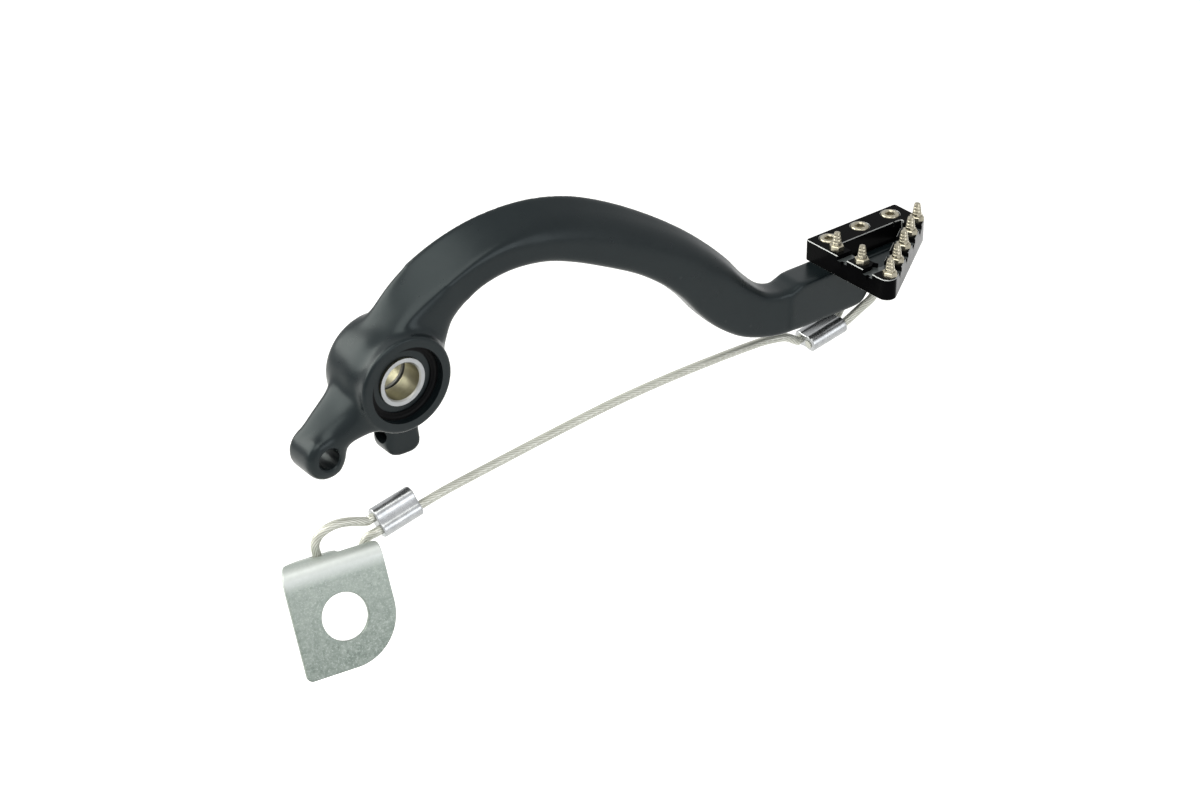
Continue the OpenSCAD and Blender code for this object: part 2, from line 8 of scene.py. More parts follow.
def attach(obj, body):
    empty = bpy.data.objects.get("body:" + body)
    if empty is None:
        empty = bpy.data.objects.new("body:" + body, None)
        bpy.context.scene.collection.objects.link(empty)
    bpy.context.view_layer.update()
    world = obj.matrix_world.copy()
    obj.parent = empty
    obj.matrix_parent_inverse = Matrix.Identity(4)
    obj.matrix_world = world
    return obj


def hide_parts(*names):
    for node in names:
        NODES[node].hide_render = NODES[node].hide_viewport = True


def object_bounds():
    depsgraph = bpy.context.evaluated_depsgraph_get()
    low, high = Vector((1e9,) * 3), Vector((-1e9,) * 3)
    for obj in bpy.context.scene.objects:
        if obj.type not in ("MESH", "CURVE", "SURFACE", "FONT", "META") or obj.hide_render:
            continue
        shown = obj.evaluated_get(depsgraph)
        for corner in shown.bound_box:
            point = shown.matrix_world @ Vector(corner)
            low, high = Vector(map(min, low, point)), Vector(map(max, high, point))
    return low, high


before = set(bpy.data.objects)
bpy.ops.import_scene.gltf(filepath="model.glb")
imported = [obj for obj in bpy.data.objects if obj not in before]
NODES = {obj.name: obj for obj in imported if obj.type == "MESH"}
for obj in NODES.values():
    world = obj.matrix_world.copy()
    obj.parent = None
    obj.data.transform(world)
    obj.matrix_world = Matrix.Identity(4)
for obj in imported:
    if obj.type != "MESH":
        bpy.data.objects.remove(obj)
cad_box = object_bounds()
MM = 0.001
scene = bpy.context.scene


# Camera

def make_camera():
    """The photograph's viewpoint, in the frame of the CAD model, in metres."""
    right = Vector((0.8046, -0.5938, 0.0)).normalized()
    back = Vector((-0.5125, -0.6945, 0.505)).normalized()
    up = back.cross(right).normalized()
    right = up.cross(back)
    data = bpy.data.cameras.new("camera")
    data.sensor_width = 36.0
    data.lens = 102.0
    data.clip_start = 0.05
    data.clip_end = 50.0
    cam = bpy.data.objects.new("camera", data)
    scene.collection.objects.link(cam)
    turn = Matrix((right, up, back)).transposed().to_4x4()
    cam.matrix_world = Matrix.Translation((-0.5402, -0.8542, 0.5784)) @ turn
    scene.camera = cam


make_camera()


# Curves and lofts

def glide(a, b, c, d, t):
    """Point at t between b and c on a smooth curve through a, b, c and d."""
    return [0.5 * (2 * q + (r - p) * t + (2 * p - 5 * q + 4 * r - s) * t * t
                   + (3 * q - p - 3 * r + s) * t ** 3) for p, q, r, s in zip(a, b, c, d)]


def glided(rows, steps):
    """The rows, with steps smooth ones from each to the next."""
    n = len(rows)
    out = []
    for i in range(n - 1):
        a, b, c, d = rows[max(i - 1, 0)], rows[i], rows[i + 1], rows[min(i + 2, n - 1)]
        out += [glide(a, b, c, d, k / steps) for k in range(steps)]
    return out + [list(rows[-1])]


def corner(a, b, c, cut, n):
    """Points of a rounded corner at b between a and c, cut back by cut."""
    a, b, c = Vector(a), Vector(b), Vector(c)
    p = b + (a - b).normalized() * min(cut, (a - b).length * 0.48)
    q = b + (c - b).normalized() * min(cut, (c - b).length * 0.48)
    return [p * (1 - t) ** 2 + b * 2 * t * (1 - t) + q * t * t
            for t in (i / n for i in range(n + 1))]


def loft(rings):
    """Closed mesh data over rings of points in mm."""
    n, m = len(rings[0]), len(rings)
    verts = [Vector(p) * MM for ring in rings for p in ring]
    faces = [(i * n + j, i * n + (j + 1) % n, (i + 1) * n + (j + 1) % n, (i + 1) * n + j)
             for i in range(m - 1) for j in range(n)]
    faces += [tuple(range(n - 1, -1, -1)), tuple((m - 1) * n + j for j in range(n))]
    return verts, faces


def lathe(profile, centre, segments):
    """Closed mesh data of a profile of (radius, y) turned round the Y axis at centre."""
    rings = []
    for r, y in profile:
        rings.append([(centre[0] + r * math.cos(a), y, centre[2] + r * math.sin(a))
                      for a in (2 * math.pi * k / segments for k in range(segments))])
    return loft(rings)


def join_data(parts):
    """One set of mesh data out of several, without joining their surfaces."""
    verts, faces = [], []
    for v, f in parts:
        base = len(verts)
        verts += v
        faces += [tuple(i + base for i in face) for face in f]
    return verts, faces


def new_piece(name, data, body="pedal", replaces=()):
    """An object from mesh data. It rides its body, unless it is a cutter with body None."""
    mesh = bpy.data.meshes.new(name)
    mesh.from_pydata(data[0], [], data[1])
    bm = bmesh.new()
    bm.from_mesh(mesh)
    bmesh.ops.recalc_face_normals(bm, faces=bm.faces)
    bm.to_mesh(mesh)
    bm.free()
    obj = bpy.data.objects.new(name, mesh)
    scene.collection.objects.link(obj)
    if body:
        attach(obj, body)
    if replaces:
        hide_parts(*replaces)
    return obj


def apply_modifiers(obj):
    deps = bpy.context.evaluated_depsgraph_get()
    mesh = bpy.data.meshes.new_from_object(obj.evaluated_get(deps))
    old = obj.data
    obj.modifiers.clear()
    obj.data = mesh
    bpy.data.meshes.remove(old)


def modify(obj, kind, **values):
    mod = obj.modifiers.new(kind.lower(), kind)
    for key, value in values.items():
        setattr(mod, key, value)
    apply_modifiers(obj)


def smooth_shade(obj, degrees):
    mesh = obj.data
    mesh.polygons.foreach_set("use_smooth", [True] * len(mesh.polygons))
    mesh.set_sharp_from_angle(angle=math.radians(degrees))


def cut_with(obj, data_list):
    """Cuts closed meshes out of the object."""
    for data in data_list:
        tool = new_piece("cutter", data, body=None)
        mod = obj.modifiers.new("cut", "BOOLEAN")
        mod.operation = "DIFFERENCE"
        mod.solver = "MANIFOLD"
        mod.object = tool
        apply_modifiers(obj)
        mesh = tool.data
        bpy.data.objects.remove(tool)
        bpy.data.meshes.remove(mesh)


# Sizes and places shared with the part's source, in mm and degrees

HUB_LEN, HUB_R = 25, 18
RECESS_R, RECESS_DEEP, BACK_RECESS_DEEP = 14.3, 4, 1.6
BUSH_R = 9
TIP_X, TIP_BACK_Y, DECK_Z, TIP_YAW, TIP_H = 184, -1, -14.3, 3, 19
PLATE_L, BACK_BAR_W, BAR_W, PLATE_T = 45.5, 10.7, 7.2, 8.4
NOSE_V, CORNER_V, OPEN_R = 40, 14.4, 1.6
CHANNEL_W, CHANNEL_DEEP, NOTCH_W, NOTCH_H, SCREW_U = 5, 1.8, 1.8, 1.8, 7.2
CABLE_R, FERRULE_GAP, FERRULE_L, FERRULE_R, WAIST = 1.65, 5, 16.5, 3.2, 0.35
CLEAT_SHIFT = (0.8, 0.4)
CLEAT_HEX_D, CLEAT_HEX_H, CLEAT_TIP_H, CLEAT_FOOT_R, CLEAT_TOP_R = 5.6, 2, 5, 1.85, 1.15
TIP_FERRULE = ((178, -9.4, -43.5), 0, -12)
END_FERRULE = ((-11.4, -7.2, -53.7), 51, -13)
BRACKET_AT, BRACKET_TURN = (-33, -19.4, -77.2), (-24, -3.5, -10)
BRACKET_W, BRACKET_HOLE_R, SHEET_T, FLANGE_X1, FLANGE_LEAN = 37, 8.5, 2, 4, 8
FLANGE_HOLE = (-2.4, 3.8)
CAD_BEND = (3.5, 19)        # the centre of the bend in the part's source


# Safety cable

CABLE_STEP, CABLE_SIDES = 0.55, 36      # mm between rings, and points in a ring
STRANDS = 12
STRAND_TURN = 30.0      # mm along the cable for one turn of a strand
STRAND_LIFT = 0.03      # mm that each strand stands out


def in_ferrule(at, roll, pitch, x, y, z):
    """Point of a ferrule's own frame, in the frame of the CAD model, in mm."""
    cr, sr = math.cos(math.radians(roll)), math.sin(math.radians(roll))
    cp, sp = math.cos(math.radians(pitch)), math.sin(math.radians(pitch))
    y, z = y * cr - z * sr, y * sr + z * cr
    return (at[0] + x * cp + z * sp, at[1] + y, at[2] + z * cp - x * sp)


def in_barrel(ferrule, side, *along):
    """Points on the centre line of one of a ferrule's two barrels."""
    return [in_ferrule(*ferrule, x, side * FERRULE_GAP / 2, 0) for x in along]


CABLE_ROUTE = (
    in_barrel(TIP_FERRULE, -1, -0.4, FERRULE_L, FERRULE_L + 1.5)
    + [[202, -13, -35.4], [205.8, -14.8, -31.4], [207.6, -14.2, -28], [208, -11.4, -26.2],
       [208, -8.2, -25.8], [208, -5, -26.2], [207.6, -2.2, -28], [205.8, -1.4, -31.4],
       [202, -3.8, -35.4]]
    + in_barrel(TIP_FERRULE, 1, FERRULE_L + 1.5, FERRULE_L, 0, -1.5)
    + [[171.5, -6.2, -41], [164, -5.4, -40], [156, -5.2, -39.7], [138, -5.6, -39.5],
       [116, -6.2, -39.7], [92, -6.8, -40.9], [66, -7.4, -43.6], [40, -8, -46.7],
       [18, -8.6, -49.4]]
    + in_barrel(END_FERRULE, -1, FERRULE_L + 2.5, FERRULE_L, 0, -1.5)
    + [[-15.6, -6.8, -58.4], [-18, -6.4, -63.4], [-21.4, -6.2, -67.6], [-26, -5.4, -69.8],
       [-30.6, -4.8, -68.2], [-33.2, -4.2, -64], [-33.8, -3.4, -59.6], [-34.4, -3.6, -55.4],
       [-33, -4.2, -51.9], [-29.4, -4.8, -49.8], [-25, -5.2, -49.4], [-20, -5.6, -50.4]]
    + in_barrel(END_FERRULE, 1, -2.5, 0, FERRULE_L + 0.4))


def even_points(points, step):
    """Points along the line at an even distance."""
    pts = [Vector(p) for p in points]
    out, left = [pts[0]], step
    for a, b in zip(pts, pts[1:]):
        length = (b - a).length
        at = left
        while at <= length:
            out.append(a.lerp(b, at / length))
            at += step
        left = at - length
    if (out[-1] - pts[-1]).length > step * 0.3:
        out.append(pts[-1])
    return out


def make_cable():
    """The cable, its centre line and its length in mm."""
    line = even_points(glided(CABLE_ROUTE, 8), CABLE_STEP)
    side = Vector((0, 1, 0))
    rings, phases, s = [], [], 0.0
    for i, p in enumerate(line):
        h = (line[min(i + 1, len(line) - 1)] - line[max(i - 1, 0)]).normalized()
        side = (side - h * side.dot(h)).normalized()
        other = h.cross(side)
        if i:
            s += (p - line[i - 1]).length
        ring = []
        for j in range(CABLE_SIDES):
            a = 2 * math.pi * j / CABLE_SIDES
            phase = STRANDS * (a - 2 * math.pi * s / STRAND_TURN)
            r = CABLE_R - STRAND_LIFT + STRAND_LIFT * abs(math.cos(phase / 2))
            ring.append(p + (side * math.cos(a) + other * math.sin(a)) * r)
            phases.append(phase)
        rings.append(ring)
    cable = new_piece("cable_run", loft(rings), replaces=("safety_cable",))
    layer = cable.data.attributes.new("strand", "FLOAT", "POINT")
    layer.data.foreach_set("value", phases)
    smooth_shade(cable, 60)
    return cable, line, s


cable, cable_line, cable_length = make_cable()


# Arm

# Each station: x and z of the section's lower and upper ends, its outer and inner y, how far
# its outer upper corner falls, and the cuts of its outer upper, inner upper and lower corners
ARM_STATIONS = [
    [16.5, 0, -10, 15, -9, 8, 1, 2, 3, 3],
    [20.4, 9, -3, 22, -8.8, 8.4, 4, 1.5, 3.5, 3],
    [22.8, 15.6, 5, 29.6, -8.9, 8.6, 6.5, 1.5, 3, 3],
    [29.6, 22.6, 18.8, 38.2, -9.3, 7.4, 7, 1.8, 2.5, 3],
    [38, 26.5, 32.4, 44, -9.7, 6, 7.2, 2.5, 2.5, 3],
    [48, 28, 46, 47, -10.1, 4.6, 7.6, 4, 2.5, 3],
    [60, 27, 61, 47.7, -10.6, 3.2, 8.5, 7, 3, 3],
    [72, 23.2, 77, 45, -11.1, 1.8, 9, 9, 3.5, 3],
    [86, 17, 93, 38.8, -11.7, 0.2, 8.5, 10, 4, 3],
    [99, 10.4, 109, 29.9, -12.3, -1.2, 7.5, 10, 4, 3],
    [110, 2.8, 123, 20.4, -12.8, -2.4, 6, 9, 4, 3],
    [119, -5.6, 134, 11.1, -13.3, -3.2, 5, 8, 3.5, 3],
    [127, -15, 143, 2.1, -13.7, -3.8, 4, 6, 3, 3],
    [135, -22.6, 150, -6.4, -14.1, -4.2, 3, 4, 2.5, 3],
    [145, -29, 156.5, -12.6, -14.6, -4.4, 2, 3, 2.2, 2.5],
    [156, -32.4, 162, -15, -15.1, -4.4, 1, 2.6, 2, 2],
    [165, -33.4, 166.5, -15.1, -15.5, -4.2, 0.6, 2.4, 1.6, 1.6],
    [169.5, -33.1, 170.5, -14.6, -15, -3.8, 0.3, 2.4, 1.4, 1.6]]

EYE_STATIONS = [
    [2, -12, -8, 15, -12.2, 7, 4, 4, 5, 3],
    [-7.2, -14.7, -15.5, 7.8, -12.2, 8, 4, 4, 5, 3],
    [-14.2, -15.9, -21.5, -0.4, -11.2, 7.6, 5, 5, 5, 3],
    [-19.8, -18.1, -28, -6, -9.6, 6.8, 5, 5, 5, 3],
    [-25, -22.6, -34.2, -12.2, -7.8, 6, 3.5, 4, 5, 4],
    [-27.6, -27.6, -37.4, -17.6, -6.8, 5.4, 2, 3, 5, 4]]

TONGUE_V0, TONGUE_V1, TONGUE_T = 1.5, 14, 8
# Each station of the tip: u, lower and upper w, and the cut of its outer upper corner
TIP_STATIONS = [
    [-19, -TIP_H + 0.6, -2, 2.4], [-14.6, -TIP_H, -0.2, 2.4], [-13, -TIP_H, 0, 2],
    [-6, -TIP_H, 0, 1.8], [2, -TIP_H, 0, 1.6], [14, -TIP_H, 0, 1.2],
    [18, -TIP_H + 1.4, 0, 1.2], [20.4, -TIP_H + 5, 0, 1.2], [22.5, -TONGUE_T - 2.2, 0, 1.2],
    [26, -TONGUE_T, 0, 1.2], [PLATE_L - 5, -TONGUE_T, 0, 1.2],
    [PLATE_L - 3, -TONGUE_T + 2, 0, 1.2]]

ARC = 8         # steps in each rounded corner of a section
VOXEL, MELT_STEPS = 0.54, 190       # mm of the arm's remesh, and the smoothing of its joins


def forged_ring(s):
    lo, up = Vector((s[0], s[1])), Vector((s[2], s[3]))
    h = (up - lo).length
    way = (up - lo) / h
    a, b, c, d = (s[4], 0), (s[4], h - s[6]), (s[5], h), (s[5], 0)
    loop = (corner(d, a, b, s[9], ARC) + corner(a, b, c, s[7], ARC)
            + corner(b, c, d, s[8], ARC) + corner(c, d, a, s[9], ARC))
    return [(lo[0] + way[0] * p[1], p[0], lo[1] + way[1] * p[1]) for p in loop]


def at_tip(u, v, w):
    """Point of the step plate's frame, in the frame of the CAD model, in mm."""
    a = math.radians(TIP_YAW)
    return (TIP_X + u * math.cos(a) + v * math.sin(a),
            TIP_BACK_Y + u * math.sin(a) - v * math.cos(a), DECK_Z + w)


def tip_ring(s):
    a, b = (TONGUE_V1, s[1]), (TONGUE_V1, s[2])
    c, d = (TONGUE_V0, s[2]), (TONGUE_V0, s[1])
    loop = (corner(d, a, b, 1.6, ARC) + corner(a, b, c, s[3], ARC)
            + corner(b, c, d, 1, ARC) + corner(c, d, a, 1.6, ARC))
    return [at_tip(s[0], p[0], p[1]) for p in loop]


def box_data(x, y, z):
    """Closed mesh data of a box between pairs of limits, in mm."""
    verts = [Vector((a, b, c)) * MM for a in x for b in y for c in z]
    faces = [(0, 1, 3, 2), (4, 6, 7, 5), (0, 4, 5, 1), (2, 3, 7, 6), (0, 2, 6, 4), (1, 5, 7, 3)]
    return verts, faces


EYE_X, EYE_Z, EYE_Y0, EYE_LEN, EYE_R, EYE_PIN_R = -29.5, -21, -8.4, 14, 8.3, 4
LUG_X0, LUG_L, LUG_W, LUG_DROP, LUG_CORNER = 0.6, 14.5, 9, 38, 4
LUG_HOLE_Z, LUG_HOLE_R = -29.4, 3.4
EYELET_X, EYELET_Z, EYELET_R, EYELET_HOLE_R, EYELET_W = 208, -26, 6.4, 3.2, 5
EYELET_Y = TIP_BACK_Y - (TONGUE_V0 + TONGUE_V1) / 2 + 1.2


def hub_profile():
    """The hub's flange, hollow and band, from its outer face to its inner one."""
    y0, y1 = -HUB_LEN / 2, HUB_LEN / 2
    band, valley = HUB_R + 0.8, HUB_R - 0.8
    return [(2, y0), (HUB_R - 0.6, y0), (HUB_R, y0 + 0.5), (HUB_R + 0.3, y0 + 2.2),
            (HUB_R, y0 + 3), (valley + 0.2, y0 + 4.2), (valley, y0 + 5.4),
            (valley + 0.6, y0 + 7), (band, y0 + 9), (band, y1 - 2.6), (band - 0.5, y1 - 1.2),
            (band - 1.6, y1 - 0.2), (band - 2.4, y1), (2, y1)]


def ramp(value, low, high):
    return min(1.0, max(0.0, (value - low) / (high - low)))


def blend_weight(x, y, z):
    """How much the forging's joins are melted together at a point, from 0 to 1."""
    r = math.hypot(x, z)
    w = 0.03
    if r < 36:
        w = max(w, ramp(y, -11.6, -9.2) * ramp(y, 12.6, 9.5) * ramp(r, 15.5, 17) * ramp(r, 38, 27))
    if x < -8 and r > 19:
        w = max(w, 0.8 * ramp(math.hypot(x - EYE_X, z - EYE_Z), 8.2, 9.6))
    if z < -18 and 0 < x < 16:
        w = max(w, 0.1)
    return max(w, 0.1 * ramp(abs(x - 166), 9, 4))


def make_arm():
    """One skin over the forging's bodies, with its joins melted and its holes cut."""
    tongue_under = DECK_Z - TONGUE_T
    y1 = HUB_LEN / 2
    eyelet_y = (EYELET_Y - EYELET_W / 2, EYELET_Y + EYELET_W / 2)
    body = join_data([
        lathe(hub_profile(), (0, 0, 0), 160),
        loft([forged_ring(s) for s in glided(ARM_STATIONS, 10)]),
        loft([forged_ring(s) for s in glided(EYE_STATIONS, 10)]),
        loft([tip_ring(s) for s in glided(TIP_STATIONS, 6)]),
        lathe([(EYE_R - 3, EYE_Y0), (EYE_R - 1.9, EYE_Y0 + 0.2), (EYE_R - 0.9, EYE_Y0 + 0.8),
               (EYE_R - 0.2, EYE_Y0 + 1.9), (EYE_R, EYE_Y0 + 3.2),
               (EYE_R, EYE_Y0 + EYE_LEN - 1.2), (EYE_R - 0.3, EYE_Y0 + EYE_LEN - 0.3),
               (EYE_R - 1.2, EYE_Y0 + EYE_LEN)], (EYE_X, 0, EYE_Z), 96),
        lug_data(),
        lathe([(EYELET_R, y) for y in eyelet_y], (EYELET_X, 0, EYELET_Z), 64),
        box_data((EYELET_X - EYELET_R, EYELET_X + EYELET_R), eyelet_y,
                 (EYELET_Z, tongue_under + 1)),
        box_data((EYELET_X - EYELET_R - 6, EYELET_X), eyelet_y,
                 (EYELET_Z - 2, tongue_under + 1))])
    arm = new_piece("forged_arm", body, replaces=("pedal_arm",))
    modify(arm, "REMESH", mode="VOXEL", voxel_size=VOXEL * MM, adaptivity=0.0)
    weights = arm.vertex_groups.new(name="blend")
    for v in arm.data.vertices:
        weights.add([v.index], blend_weight(*(c / MM for c in v.co)), "REPLACE")
    modify(arm, "SMOOTH", factor=0.5, iterations=MELT_STEPS, vertex_group="blend")
    cut_with(arm, [
        lathe([(BUSH_R, -y1 - 1), (BUSH_R, y1 + 1)], (0, 0, 0), 128),
        lathe([(RECESS_R, -y1 - 1), (RECESS_R, -y1 + RECESS_DEEP)], (0, 0, 0), 128),
        lathe([(RECESS_R, y1 - BACK_RECESS_DEEP), (RECESS_R, y1 + 1)], (0, 0, 0), 128),
        lathe([(EYE_PIN_R + 1.6, EYE_Y0 - 1), (EYE_PIN_R, EYE_Y0 + 0.6),
               (EYE_PIN_R, EYE_Y0 + EYE_LEN + 1)], (EYE_X, 0, EYE_Z), 64),
        lathe([(EYELET_HOLE_R, EYELET_Y - EYELET_W), (EYELET_HOLE_R, EYELET_Y + EYELET_W)],
              (EYELET_X, 0, EYELET_Z), 48),
        along_x(LUG_HOLE_R, LUG_X0 - 1, LUG_X0 + LUG_L + 1, y1 - LUG_W / 2, LUG_HOLE_Z)])
    smooth_shade(arm, 40)
    return arm


def along_x(r, x0, x1, y, z, n=48):
    """Closed mesh data of a cylinder along X, in mm."""
    return loft([[(x, y + r * math.cos(a), z + r * math.sin(a))
                  for a in (2 * math.pi * k / n for k in range(n))] for x in (x0, x1)])


def lug_data():
    """The stop lug, with its lower corners rounded, as a loft along Y."""
    x0, x1 = LUG_X0, LUG_X0 + LUG_L
    low, top = -LUG_DROP, -BUSH_R
    loop = (corner((x1, top), (x1, low), (x0, low), LUG_CORNER * 1.2, 10)
            + corner((x1, low), (x0, low), (x0, top), LUG_CORNER * 1.9, 14)
            + [Vector((x0, top)), Vector((x1, top))])
    y1 = HUB_LEN / 2
    return loft([[(p[0], y, p[1]) for p in loop] for y in (y1 - LUG_W, y1)])


# Step plate

SLANT = math.atan2(CORNER_V - NOSE_V, PLATE_L - BAR_W)      # radians, the slanting bar
END_R = 1.2         # mm, the plate's corners at the back
COUNTERBORE_R, COUNTERBORE_DEEP, SCREW_V = 3.65, 2.3, 5
CHAMFER = 0.26


def screw_spot(i):
    return SCREW_U + i * (PLATE_L / 2 - SCREW_U), SCREW_V


def bar_spots():
    """Places of the seven cleats: two on the straight bar, five on the slanting one."""
    half = BAR_W / 2
    nose, end = (half, NOSE_V), (PLATE_L - half, CORNER_V)
    spots = [(half, NOSE_V + (i - 2) * (NOSE_V - CORNER_V + 1.4) / 2) for i in range(2)]
    return spots + [(nose[0] + i / 4 * (end[0] - nose[0]), nose[1] + i / 4 * (end[1] - nose[1]))
                    for i in range(5)]


def arc(centre, r, a0, a1, n):
    """Points of an arc from a0 to a1 degrees, in n steps."""
    return [(centre[0] + r * math.cos(math.radians(a0 + (a1 - a0) * k / n)),
             centre[1] + r * math.sin(math.radians(a0 + (a1 - a0) * k / n))) for k in range(n + 1)]


def prism(outline, w0, w1):
    """Closed mesh data of an outline in the step plate's frame, from height w0 to w1."""
    return loft([[at_tip(u, v, w) for u, v in outline] for w in (w0, w1)])


def notch(middle, along, out, half):
    """Closed mesh data of the notch in the outer wall below a channel."""
    level = PLATE_T - CHANNEL_DEEP
    section = ((-NOTCH_W / 2, 0.8), (-NOTCH_W / 2, 0), (0, -NOTCH_H), (NOTCH_W / 2, 0),
               (NOTCH_W / 2, 0.8))
    return loft([[at_tip(middle[0] + along[0] * a + out[0] * reach,
                         middle[1] + along[1] * a + out[1] * reach, level + b)
                  for a, b in section] for reach in (half - 1, half + 1)])


def plate_outline():
    half, lean = BAR_W / 2, math.degrees(SLANT)
    return (arc((END_R, END_R), END_R, 270, 180, 5)
            + arc((half, NOSE_V), half, 180, 90 + lean, 16)
            + arc((PLATE_L - half, CORNER_V), half, 90 + lean, 0, 14)
            + arc((PLATE_L - END_R, END_R), END_R, 0, -90, 5))


def window_outline():
    """The plate's open triangle between its three bars, with rounded corners."""
    half = BAR_W / 2
    inner = (half + half * math.sin(SLANT), NOSE_V - half * math.cos(SLANT))
    t1 = (BACK_BAR_W - inner[1]) / math.sin(SLANT)
    t2 = (BAR_W - inner[0]) / math.cos(SLANT)
    tri = [(BAR_W, BACK_BAR_W), (inner[0] + t1 * math.cos(SLANT), BACK_BAR_W),
           (BAR_W, inner[1] + t2 * math.sin(SLANT))]
    loop = []
    for i in range(3):
        loop += [tuple(p) for p in corner(tri[i - 1], tri[i], tri[(i + 1) % 3],
                                          OPEN_R * (3.4 if i else 1.0), 6)]
    return loop


def channel_cuts():
    """The channels between the cleats, each with the notch in the wall at its end."""
    cuts, spots = [], bar_spots()
    w, reach = CHANNEL_W / 2, BAR_W
    for k, (a, b) in enumerate(zip(spots, spots[1:])):
        m = ((a[0] + b[0]) / 2, (a[1] + b[1]) / 2)
        du, dv = (0, 1) if k < 2 else (math.cos(SLANT), math.sin(SLANT))
        nu, nv = -dv, du
        quad = [(m[0] + s * du * w + q * nu * reach, m[1] + s * dv * w + q * nv * reach)
                for s, q in ((-1, -1), (1, -1), (1, 1), (-1, 1))]
        cuts += [prism(quad, PLATE_T - CHANNEL_DEEP, PLATE_T + 1),
                 notch(m, (du, dv), (nu, nv), BAR_W / 2)]
    return cuts


def make_plate():
    """Material 0 is the plate's, 1 its chamfers' and 2 its channels' floors'."""
    plate = new_piece("step_plate_dressed", prism(plate_outline(), 0, PLATE_T),
                      replaces=("step_plate",))
    for _ in range(3):
        plate.data.materials.append(None)
    cut_with(plate, [prism(window_outline(), -1, PLATE_T + 1)]
             + [prism(arc(screw_spot(i), COUNTERBORE_R, 0, 354, 59),
                      PLATE_T - COUNTERBORE_DEEP, PLATE_T + 1) for i in range(3)])
    modify(plate, "BEVEL", width=CHAMFER * MM, segments=1, limit_method="ANGLE",
           angle_limit=math.radians(40), material=1, use_clamp_overlap=False)
    cut_with(plate, channel_cuts())
    floor_z = (DECK_Z + PLATE_T - CHANNEL_DEEP) * MM
    for face in plate.data.polygons:
        if face.normal.z > 0.9 and abs(face.center.z - floor_z) < 0.01 * MM:
            face.material_index = 2
    smooth_shade(plate, 30)
    return plate


# Cleats and screws, in the step plate's frame

CLEAT_GROOVES, STUD_R, STUD_DEEP = 3, 1.5, 5


def turned(profile, u, v, n):
    """Closed mesh data of a profile of (radius, height) with n sides, upright at u and v."""
    return loft([[at_tip(u + r * math.cos(2 * math.pi * k / n),
                         v + r * math.sin(2 * math.pi * k / n), w)
                  for k in range(n)] for r, w in profile])


def make_cleat(i):
    """A hexagon with a stud below it and a grooved point on it."""
    u, v = bar_spots()[i]
    if i > 1:
        u, v = u + CLEAT_SHIFT[0], v + CLEAT_SHIFT[1]
    tip = []
    for k in range(1, CLEAT_GROOVES + 1):
        h = k * CLEAT_TIP_H / (CLEAT_GROOVES + 1)
        rad = CLEAT_FOOT_R + (CLEAT_TOP_R - CLEAT_FOOT_R) * h / CLEAT_TIP_H
        tip += [(rad + 0.02, h - 0.2), (rad - 0.1, h - 0.06), (rad - 0.1, h + 0.06),
                (rad - 0.02, h + 0.2)]
    tip += [(CLEAT_TOP_R, CLEAT_TIP_H - 0.4), (CLEAT_TOP_R - 0.12, CLEAT_TIP_H - 0.12),
            (CLEAT_TOP_R - 0.4, CLEAT_TIP_H)]
    base = PLATE_T + CLEAT_HEX_H
    half = CLEAT_HEX_D / 2
    cleat = new_piece("cleat_%d_dressed" % (i + 1), join_data([
        turned([(STUD_R, PLATE_T - STUD_DEEP), (STUD_R, PLATE_T + 0.5)], u, v, 32),
        turned([(half, PLATE_T), (half, base - 0.3), (half - 0.35, base)], u, v, 6),
        turned([(CLEAT_FOOT_R, base - 0.5), (CLEAT_FOOT_R, base)]
               + [(a, base + b) for a, b in tip], u, v, 48)]),
        replaces=("cleat_%d" % (i + 1),))
    smooth_shade(cleat, 32)
    return cleat


def make_screw(i):
    """A shank under a low head, with a countersunk hexagonal socket."""
    u, v = screw_spot(i)
    top = PLATE_T + 0.5
    screw = new_piece("step_screw_%d_dressed" % (i + 1), turned(
        [(2.5, top - 14.8), (2.5, top - 2.8), (3.5, top - 2.8), (3.5, top - 0.75),
         (3.4, top - 0.4), (3.15, top - 0.12), (2.8, top)], u, v, 64),
        replaces=("step_screw_%d" % (i + 1),))
    cut_with(screw, [turned([(1.5, top - 0.6), (2.35, top + 0.1)], u, v, 48),
                     turned([(1.9, top - 2), (1.9, top + 1)], u, v, 6)])
    smooth_shade(screw, 32)
    return screw


# Ferrules

def ferrule_ring(at, roll, pitch, x, inset, n=20):
    """Outline of a ferrule at x along it, in mm: two barrels and the web between them."""
    rad = FERRULE_R - inset
    turn = math.degrees(math.asin((FERRULE_R - WAIST - inset) / rad))
    half = FERRULE_GAP / 2
    flat = (arc((half, 0), rad, turn - 180, 180 - turn, n)
            + arc((-half, 0), rad, turn, 360 - turn, n))
    return [in_ferrule(at, roll, pitch, x, y, z) for y, z in flat]


def make_ferrule(node, at, roll, pitch):
    """A double barrel with rounded rims and a bore for each strand of the loop."""
    ends = [(0, 0.55), (0.08, 0.3), (0.3, 0.08), (0.55, 0)]
    steps = (ends + [(x, 0) for x in (1.2, 3, 6, 9, 12, FERRULE_L - 1.2)]
             + [(FERRULE_L - x, e) for x, e in reversed(ends)])
    rings = [ferrule_ring(at, roll, pitch, x, e) for x, e in steps]
    obj = new_piece(node + "_dressed", loft(rings), replaces=(node,))
    cut_with(obj, [loft([[in_ferrule(at, roll, pitch, x, y, z)
                          for y, z in arc((s * FERRULE_GAP / 2, 0), CABLE_R + 0.05, 0, 350, 35)]
                         for x in (-1, FERRULE_L + 1)]) for s in (-1, 1)])
    smooth_shade(obj, 40)
    modify(obj, "WEIGHTED_NORMAL", keep_sharp=True)
    return obj


# Frame bracket: a flat blank that is bent over, with sizes in mm

